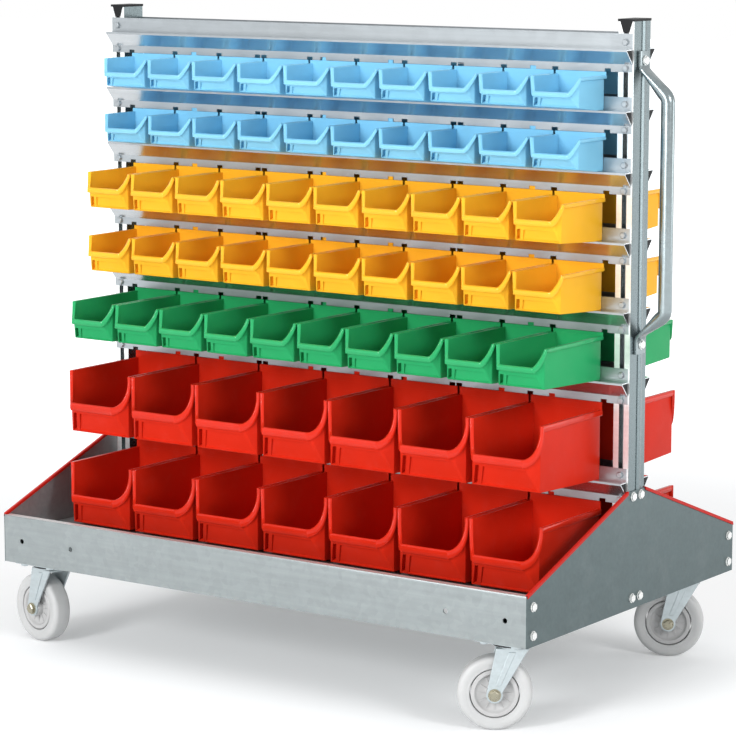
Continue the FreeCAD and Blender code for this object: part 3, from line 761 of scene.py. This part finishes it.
def mergedCopy(name, node):
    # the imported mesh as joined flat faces, with no stored normals
    source = frame["nodes"][node].data
    points = [v.co.copy() for v in source.vertices]
    faces = [tuple(p.vertices) for p in source.polygons]
    mesh = meshFrom(name, points, faces)
    bm = loaded(mesh)
    bmesh.ops.remove_doubles(bm, verts=bm.verts, dist=weld)
    bmesh.ops.dissolve_limit(bm, angle_limit=math.radians(0.5), verts=bm.verts, edges=bm.edges)
    return newObject(name, stored(bm, mesh))


def roundFold(mesh, radius):
    # rounds the long outer edge along the top, where the sheet is folded over
    bm = loaded(mesh)
    high = max(v.co.z for v in bm.verts)
    outer = max(abs(v.co.y) for v in bm.verts)
    fold = []
    for edge in bm.edges:
        ends = [v.co for v in edge.verts]
        if all(high - p.z < 1e-5 and outer - abs(p.y) < 1e-5 for p in ends):
            fold.append(edge)
    rounded(bm, fold, radius, 5, False)
    stored(bm, mesh)


def slimTrims(mesh, cut):
    # shortens the flanges of the trims, which run down from a sloping top
    for side in (-1, 1):
        points = [v for v in mesh.vertices if v.co.y * side > 0]
        tops = [p for p in mesh.polygons if p.normal.z > 0.3 and p.center.y * side > 0]
        slope = max(tops, key=lambda p: p.area).normal
        high = max(v.co.dot(slope) for v in points)
        for vert in points:
            if high - vert.co.dot(slope) > cut:
                vert.co += slope * cut
    mesh.update()


def eased(name, node, width):
    piece = mergedCopy(name, node)
    if node in sheetParts["panels"]["nodes"]:
        roundFold(piece.data, panelFold)
    if node in sheetParts["trims"]["nodes"]:
        slimTrims(piece.data, trimCut)
    smooth(piece.data, 35)
    return easedEdges(piece, width)


# gives the faces that look along an axis a second finish; the second finishes here are lighter and darker copies
# of the zinc, painted highlight and painted shade by facing
def addSecondFinish(mesh, axis, material, innerOnly=False):
    mesh.materials.append(material)
    for face in mesh.polygons:
        inward = -face.normal[axis] * math.copysign(1, face.center[axis])
        face.material_index = int(inward > squarely or (inward < -squarely and not innerOnly))


for part in sheetParts.values():
    for node in part["nodes"]:
        piece = eased("finish_" + node, node, part["ease"])
        finished(piece, part["finish"], "frame", slotOf[node], node)
        if "second" in part:
            addSecondFinish(piece.data, *part["second"])
print("sheet metal eased:", sum(len(part["nodes"]) for part in sheetParts.values()), "pieces")

postRib = {
    "across": 0.008,       # middle of the rib from the middle of the post
    "half": 0.0075,
    "proud": 0.0012,
    "sink": 0.0015,        # into the post's face
    "lap": 0.004,          # down behind the end plate
    "steps": 10,
}


def addPostRib(node, plate, side):
    # a rounded rib down the outer face of a post, above the end plate
    low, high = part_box(node)
    face = high.x if side > 0 else low.x
    outline = []
    for step in range(postRib["steps"] + 1):
        share = 2 * step / postRib["steps"] - 1
        rise = postRib["proud"] * math.cos(share * math.pi / 2)
        outline.append((face + side * rise, side * (postRib["across"] + share * postRib["half"])))
    outline += [(face - side * postRib["sink"], y) for x, y in (outline[-1], outline[0])]
    bm = bmesh.new()
    slab(bm, outline, 2, (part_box(plate)[1].z - postRib["lap"], high.z))
    rib = newObject("rib_" + node, closed("rib_" + node, bm, 35))
    finished(rib, millAluminium, "frame", slotOf[node])


addPostRib("post_left", "end_plate_left", -1)
addPostRib("post_right", "end_plate_right", 1)


# Bolts

boltSizes = {
    "m6": {"corner": 0.0058, "head": 0.004, "washer": 0.0062, "washerThick": 0.0012},
    "m8": {"corner": 0.0075, "head": 0.0053, "washer": 0.0082, "washerThick": 0.0016},
    "axle": {"corner": 0.0092, "head": 0.0064, "washer": 0.0108, "washerThick": 0.0012},
}
nutLength = 0.008   # a part of a bolt node that is shorter is a nut


def islands(node):
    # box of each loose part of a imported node
    bm = loaded(frame["nodes"][node].data)
    bmesh.ops.remove_doubles(bm, verts=bm.verts, dist=weld)
    seen, boxes = set(), []
    for start in bm.verts:
        if start in seen:
            continue
        stack, members = [start], []
        seen.add(start)
        while stack:
            vert = stack.pop()
            members.append(vert.co.copy())
            for edge in vert.link_edges:
                other = edge.other_vert(vert)
                if other not in seen:
                    seen.add(other)
                    stack.append(other)
        low = Vector([min(p[i] for p in members) for i in range(3)])
        high = Vector([max(p[i] for p in members) for i in range(3)])
        boxes.append((low, high))
    bm.free()
    return boxes


def boltPoints(node, axis, head, way=0):
    # a point on its seat and a facing for each bolt, away from the middle or to the side that way gives
    points, facings = [], []
    for low, high in islands(node):
        if high[axis] - low[axis] < nutLength:
            continue
        seat = (low + high) / 2
        away = way or (1 if seat[axis] > 0 else -1)
        seat[axis] = (high[axis] if away > 0 else low[axis]) - away * head
        facing = Vector((0, 0, 0))
        facing[axis] = away
        points.append(seat)
        facings.append(facing)
    return points, facings


def boltPiece(name, node, points, facings, size, body, slot, material):
    mesh = meshFrom(name, points, [])
    attribute = mesh.attributes.new("facing", "FLOAT_VECTOR", "POINT")
    attribute.data.foreach_set("vector", [c for f in facings for c in f])
    piece = grown(name, boltHeads, {
        "Across Corners": size["corner"], "Head": size["head"] - size["washerThick"],
        "Washer Radius": size["washer"], "Washer": size["washerThick"], "Material": material}, mesh)
    smooth(piece.data, 30)
    return finished(piece, material, body, slot, node)


def frameBolts(name, node, axis, size, material, way=0):
    points, facings = boltPoints(node, axis, size["head"], way)
    boltPiece(name, node, points, facings, size, "frame", "zinc_bolt", material)


# the rail bolts take the same darker copy: painted shade
frameBolts("bolts_rails", "rail_bolts", 1, boltSizes["m6"], shadedStripZinc)
frameBolts("bolts_end_plates", "end_plate_bolts", 0, boltSizes["m8"], boltZinc)
frameBolts("bolts_handle", "handle_bolts", 0, boltSizes["m8"], boltZinc)


# Dark blocks in the open ends of the rails: painted shade inside their hollow noses

noseShadeBlock = {
    "depth": 0.02,         # nose of the rail
    "tip": 0.0035,
    "drop": 0.025,
    "strip": 0.013,        # strip below the nose
    "sheet": 0.0016,
    "endGap": 0.0004,      # behind the rail's end
    "long": 0.008,         # inner end of the plug from the rail's end
}


def addShadeBlocks(name, node, way):
    # way -1 for the front rails, 1 for the rear ones
    bm = bmesh.new()
    sheet, gap, long = noseShadeBlock["sheet"], noseShadeBlock["endGap"], noseShadeBlock["long"]
    for low, high in islands(node):
        level = low.z + noseShadeBlock["strip"] + noseShadeBlock["drop"]
        tip = low.y if way < 0 else high.y
        inner = tip - way * (noseShadeBlock["depth"] - 2 * sheet)
        tip -= way * sheet
        outline = [(tip, level - sheet), (tip, level - noseShadeBlock["tip"]),
                   (inner, level - noseShadeBlock["drop"] + 3 * sheet), (inner, level - sheet)]
        for ends in ((low.x + gap, low.x + long), (high.x - long, high.x - gap)):
            slab(bm, outline, 0, ends)
    # near-black plastic stands in for the shade inside the rail's nose
    finished(newObject(name, closed(name, bm)), capPlastic, "frame", "cap_plastic")


addShadeBlocks("nose_plugs_front", "front_hook_rails", -1)
addShadeBlocks("nose_plugs_rear", "rear_hook_rails", 1)


# Push handle

handle = {
    "grip": 0.012,         # tube radius
    "tabHalf": 0.015,      # flattened end, half width
    "tabThick": 0.003,     # and half thickness
    "tabSquare": 0.3,      # squareness: 1 is round, less is boxier
    "tabEnd": 0.016,       # tab past its bolt
    "tabBend": (0.0085, 0.012),     # from the bolt to the bend, and to the slant
    "oval": (0.0135, 0.0075, 0.7),  # section in the middle of the slant: half sizes, squareness
    "gripLow": 0.054,      # bolt to end of grip, below
    "gripHigh": 0.062,     # and above
    "slant": (0.05, 0.16, 0.45, 0.8, 0.93),        # stations from tab to grip, as shares of the way
    "gripBend": ((0.0012, 0.001), (0.0, 0.006)),   # points of the bend into the grip: inward, along it
    "sides": 20,
}


def superRing(point, along, halfY, halfN, square):
    # a ring square to the path in the XZ plane
    normal = Vector((along.z, 0, -along.x))
    ring = []
    for wide, deep in boxyCircle(handle["sides"], square):
        ring.append(point + Vector((0, wide * halfY, 0)) + normal * (deep * halfN))
    return ring


def pushHandle():
    low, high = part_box("push_handle")
    gripX = high.x - handle["grip"]
    tabX = low.x + handle["tabThick"]
    boltLow = low.z + handle["tabEnd"]
    boltHigh = high.z - handle["tabEnd"]
    flat = (handle["tabHalf"], handle["tabThick"], handle["tabSquare"])
    tube = (handle["grip"], handle["grip"], 1.0)
    oval = handle["oval"]
    bend, slant = handle["tabBend"]

    def half(bolt, grip, way):
        # from the tab's end to the grip, way +1 upwards: x, z, section
        start = bolt + way * slant
        stations = [(tabX, bolt + way * past, flat) for past in (-handle["tabEnd"], 0, bend)]
        for share, section in zip(handle["slant"], (flat, flat, oval, tube, tube)):
            stations.append((tabX + (gripX - tabX) * share, start + (grip - start) * share, section))
        stations += [(gripX - inward, grip + way * past, tube) for inward, past in handle["gripBend"]]
        return [(Vector((x, 0, z)), section) for x, z, section in stations]

    path = half(boltLow, boltLow + handle["gripLow"], 1)
    path += half(boltHigh, boltHigh - handle["gripHigh"], -1)[::-1]
    bm = bmesh.new()
    skinned(bm, [superRing(point, direction(path, k), *section) for k, (point, section) in enumerate(path)])
    return newObject("finish_push_handle", closed("finish_push_handle", bm, 40))


finished(pushHandle(), tubeZinc, "frame", "handle_tube", "push_handle")
print("handle and bolts made")


# Castors

castor = {
    "wheelWidth": 0.036,
    "core": 0.040,          # radius of the core
    "gap": 0.0016,          # dark ring between core and tyre
    "shoulder": 0.008,
    "hub": 0.014,
    "hubGap": 0.0004,       # between hub and fork
    "bore": 0.0052,
    "coreInset": 0.0022,    # the core's rim behind the tyre's side
    "ribs": 12,
    "ribMiddle": 0.0225,    # from the axle
    "ribBlade": (0.016, 0.0016, 0.0222),
    "forkSheet": 0.004,
    "forkInner": 0.022,
    "forkEase": 0.0011,
    "legRib": (0.006, 0.0045),      # half width of the pressed rib, at the crown and at its end
    "legRibEnds": (0.006, 0.016),   # below the crown, above the axle
    "legRibFaces": (-0.001, 0.0012),   # from the leg's outer face
    "crownHalf": 0.027,
    "crownGap": 0.0003,
    "eye": 0.014,
    "headEase": 0.0007,
    "cup": 0.030,
    "raceLift": 0.0012,
    "latheSteps": 56,
}


def lathe(name, profile, angle):
    # turns a closed line of (radius, along Z) points about Z
    bm = bmesh.new()
    rings = []
    for step in range(castor["latheSteps"]):
        turn = 2 * math.pi * step / castor["latheSteps"]
        rings.append([bm.verts.new((r * math.cos(turn), r * math.sin(turn), z)) for r, z in profile])
    for ring, following in zip(rings, rings[1:] + rings[:1]):
        for k in range(len(profile)):
            n = (k + 1) % len(profile)
            bm.faces.new((ring[k], following[k], following[n], ring[n]))
    return closed(name, bm, angle)


def wheelPart(name, upper):
    # the upper half of a wheel's profile, mirrored and turned
    return lathe(name, upper + [(r, -z) for r, z in reversed(upper)], 35)


def arcPoints(centre, radius, start, end, steps):
    points = []
    for step in range(steps + 1):
        angle = math.radians(start + (end - start) * step / steps)
        points.append((centre[0] + radius * math.cos(angle), centre[1] + radius * math.sin(angle)))
    return points


def tyreMesh(name, wheelRadius):
    half = castor["wheelWidth"] / 2
    inner = castor["core"] + castor["gap"]
    shoulder = castor["shoulder"]
    side = arcPoints((wheelRadius - shoulder, half - shoulder), shoulder, 0, 90, 6)
    upper = side + [(inner + 0.0075, half), (inner + 0.006, half - 0.0008), (inner + 0.0015, half - 0.0012),
                    (inner, half - 0.0026)]
    return wheelPart(name, upper)


def coreMesh(name):
    rim = castor["wheelWidth"] / 2 - castor["coreInset"]
    hubHalf = castor["forkInner"] - castor["hubGap"]
    core, hub = castor["core"], castor["hub"]
    upper = [(castor["bore"], hubHalf), (hub - 0.002, hubHalf), (hub, hubHalf - 0.002), (hub, 0.0105),
             (hub + 0.003, 0.009), (core - 0.011, 0.0105), (core - 0.0085, 0.0125),
             (core - 0.0075, rim - 0.001), (core - 0.0062, rim), (core - 0.0012, rim), (core, rim - 0.0012)]
    return wheelPart(name, upper)


def legOutline(trail, wheelRadius, crownTop):
    # a leg seen along the axle: straight flanks from the crown to a round eye
    half, eye = castor["crownHalf"], castor["eye"]
    return [(-half, crownTop), (half, crownTop)] + arcPoints((trail, wheelRadius), eye, 24, -200, 14)


def forkMesh(name, trail, wheelRadius, crownTop):
    inner, sheet, half = castor["forkInner"], castor["forkSheet"], castor["crownHalf"]
    outer = inner + sheet
    # pressed rib down the middle of each leg
    wide, narrow = castor["legRib"]
    top, low = crownTop - castor["legRibEnds"][0], wheelRadius + castor["legRibEnds"][1]
    lean = (crownTop - low) * trail / (crownTop - wheelRadius)
    rib = [(-wide, top), (wide, top), (lean + narrow, low), (lean - narrow, low)]
    leg = legOutline(trail, wheelRadius, crownTop)
    crown = [(-half, crownTop - sheet), (half, crownTop - sheet), (half, crownTop), (-half, crownTop)]
    bm = bmesh.new()
    for side in (-1, 1):
        slab(bm, leg, 1, (side * inner, side * outer))
        slab(bm, rib, 1, [side * (outer + face) for face in castor["legRibFaces"]])
    slab(bm, crown, 1, (-inner, inner))
    return closed(name, bm, 35)


def moved(mesh, matrix):
    mesh.transform(matrix)
    mesh.update()
    return mesh


def turned(x, y, z, origin):
    # the frame of a castor's part: its axes and its origin
    return Matrix.Translation(origin) @ Matrix((x, y, z)).transposed().to_4x4()


def placedCastor(corner):
    swivel, roll = joints["swivel_" + corner], joints["roll_" + corner]
    wheel, fork = "wheel_" + corner, "fork_" + corner
    spin, wheelAt = Vector(roll["axis"]), Vector(roll["pos_m"])
    post = Vector((*swivel["pos_m"][:2], 0))
    tyreLow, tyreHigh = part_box("castor_tyre_" + corner)
    wheelRadius = (tyreHigh.z - tyreLow.z) / 2
    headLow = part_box("castor_head_" + corner)[0].z
    offset = Vector((wheelAt.x - post.x, wheelAt.y - post.y, 0))
    along = offset.normalized()
    wheelFrame = turned(along, spin.cross(along), spin, wheelAt)   # the lathe's Z becomes the axle
    forkFrame = turned(along, spin, Vector((0, 0, 1)), post)       # X along the trail, Y along the axle

    tyre = newObject("tyre_" + corner, moved(tyreMesh("tyre_" + corner, wheelRadius), wheelFrame))
    finished(tyre, tyrePlastic, wheel, "castor_tyre", "castor_tyre_" + corner)
    core = newObject("core_" + corner, moved(coreMesh("core_" + corner), wheelFrame))
    finished(core, corePlastic, wheel, "wheel_core", "castor_wheel_core_" + corner)
    ribs = grown("core_ribs_" + corner, wheelRibs, {
        "Count": castor["ribs"], "Middle": castor["ribMiddle"], "Blade": Vector(castor["ribBlade"]),
        "Material": corePlastic})
    moved(ribs.data, wheelFrame)
    finished(ribs, corePlastic, wheel, "wheel_core")

    legs = forkMesh(fork, offset.length, wheelRadius, headLow - castor["crownGap"])
    pressed = easedEdges(newObject(fork, moved(legs, forkFrame)), castor["forkEase"], 35)
    finished(pressed, castorZinc, fork, "castor_steel", "castor_fork_" + corner)
    reach = spin * (castor["forkInner"] + castor["forkSheet"])
    boltPiece("axle_" + corner, "castor_axle_" + corner, [wheelAt - reach, wheelAt + reach], [-spin, spin],
              boltSizes["axle"], fork, "castor_axle", axleZinc)

    plate = eased("head_" + corner, "castor_head_" + corner, castor["headEase"])
    finished(plate, castorZinc, "frame", "castor_steel", "castor_head_" + corner)
    # dark ball race round the cup
    cup, low = castor["cup"], headLow + castor["raceLift"]
    race = lathe("race_" + corner, [
        (cup - 0.002, low), (cup + 0.0035, low + 0.001), (cup + 0.005, low + 0.0032),
        (cup + 0.0035, low + 0.0054), (cup - 0.002, low + 0.0064)], 40)
    ring = newObject("race_" + corner, moved(race, Matrix.Translation(post)))
    finished(ring, raceSteel, "frame", "castor_steel")


for placeName in castorPlaces:
    placedCastor(placeName)
frameBolts("bolts_castors", "castor_bolts", 2, boltSizes["m8"], castorZinc, -1)   # heads below
print("castors made")


# Studio

studio = {
    "floorSize": 40.0,
    "floorColour": (0.84, 0.85, 0.86, 1),
    "floorLift": (0.2, 1.0),   # added to the floor for camera rays: near the trolley, and far away
    "floorReach": (1.3, 3.6),  # where the change begins and ends
    "skyStrength": 0.6,
    "aim": (0, 0, 0.55),       # what the lamps point at
}
lamps = {
    "key": {"at": (-0.4, -5.4, 2.5), "size": 1.6, "power": 160.0},
    "fill": {"at": (0.8, -5.4, 0.9), "size": 1.8, "power": 68.0},
    "side": {"at": (5.2, -1.4, 2.8), "size": 1.6, "power": 96.0},
    "kicker": {"at": (4.2, 3.2, 1.1), "size": 2.2, "power": 40.0},
    "top": {"at": (0.0, 0.4, 4.2), "size": 3.2, "power": 30.0},
}
photoCamera = {
    "lens": 145.78,
    "sensor": 36.0,
    "at": (3.0459, -4.3406, 1.3697),
    "yaw": 35.02,
    "pitch": -9.11,
    "clipEnd": 100.0,
}


def seenRays(tree):
    # 1 for the rays that show the background: camera, glossy and transmission
    path = place(tree, "ShaderNodeLightPath")
    seen = mathNode(tree, "MAXIMUM", path.outputs["Is Camera Ray"], path.outputs["Is Glossy Ray"])
    return mathNode(tree, "MAXIMUM", seen, path.outputs["Is Transmission Ray"])


def floorMaterial():
    material = bpy.data.materials.new("paleFloor")
    material.use_nodes = True
    tree = material.node_tree
    tree.nodes.clear()
    out = place(tree, "ShaderNodeOutputMaterial")
    matt = place(tree, "ShaderNodeBsdfDiffuse", {"Color": studio["floorColour"]})
    coords = place(tree, "ShaderNodeTexCoord")
    away = place(tree, "ShaderNodeVectorMath", {0: coords.outputs["Object"]}, operation="LENGTH")
    spread = remapped(tree, away.outputs["Value"], studio["floorReach"], studio["floorLift"], "SMOOTHSTEP")
    lift = mathNode(tree, "MULTIPLY", seenRays(tree), spread)
    glow = place(tree, "ShaderNodeEmission", {"Strength": lift})
    both = place(tree, "ShaderNodeAddShader", {0: matt.outputs["BSDF"], 1: glow.outputs["Emission"]})
    tree.links.new(both.outputs["Shader"], out.inputs["Surface"])
    return material


def makeFloor():
    half = studio["floorSize"] / 2
    corners = [(-half, -half, 0), (half, -half, 0), (half, half, 0), (-half, half, 0)]
    floor = newObject("floor", meshFrom("floor", corners, [(0, 1, 2, 3)]))
    floor.data.materials.append(floorMaterial())


def makeSky():
    world = bpy.data.worlds.new("studioSky")
    bpy.context.scene.world = world
    world.use_nodes = True
    tree = world.node_tree
    tree.nodes.clear()
    out = place(tree, "ShaderNodeOutputWorld")
    strength = remapped(tree, seenRays(tree), (0.0, 1.0), (studio["skyStrength"], 1.0))
    sky = place(tree, "ShaderNodeBackground", {"Color": (1, 1, 1, 1), "Strength": strength})
    tree.links.new(sky.outputs["Background"], out.inputs["Surface"])


def makeLamp(name, settings):
    lamp = bpy.data.lights.new(name, "AREA")
    lamp.shape = "DISK"
    lamp.size = settings["size"]
    lamp.energy = settings["power"]
    holder = newObject(name, lamp)
    holder.location = settings["at"]
    holder.visible_camera = False
    aim = Vector(studio["aim"]) - Vector(settings["at"])
    holder.rotation_euler = aim.to_track_quat("-Z", "Y").to_euler()


def makeCamera():
    data = bpy.data.cameras.new("photoCamera")
    data.lens = photoCamera["lens"]
    data.sensor_width = photoCamera["sensor"]
    data.clip_end = photoCamera["clipEnd"]
    holder = newObject("photoCamera", data)
    holder.location = photoCamera["at"]
    yaw, pitch = math.radians(photoCamera["yaw"]), math.radians(photoCamera["pitch"])
    look = Vector((-math.sin(yaw) * math.cos(pitch), math.cos(yaw) * math.cos(pitch), math.sin(pitch)))
    holder.rotation_euler = look.to_track_quat("-Z", "Y").to_euler()
    bpy.context.scene.camera = holder


makeFloor()
makeSky()
for lampName, settings in lamps.items():
    makeLamp(lampName, settings)
makeCamera()
bpy.context.scene.view_settings.view_transform = "Standard"
print("studio ready")
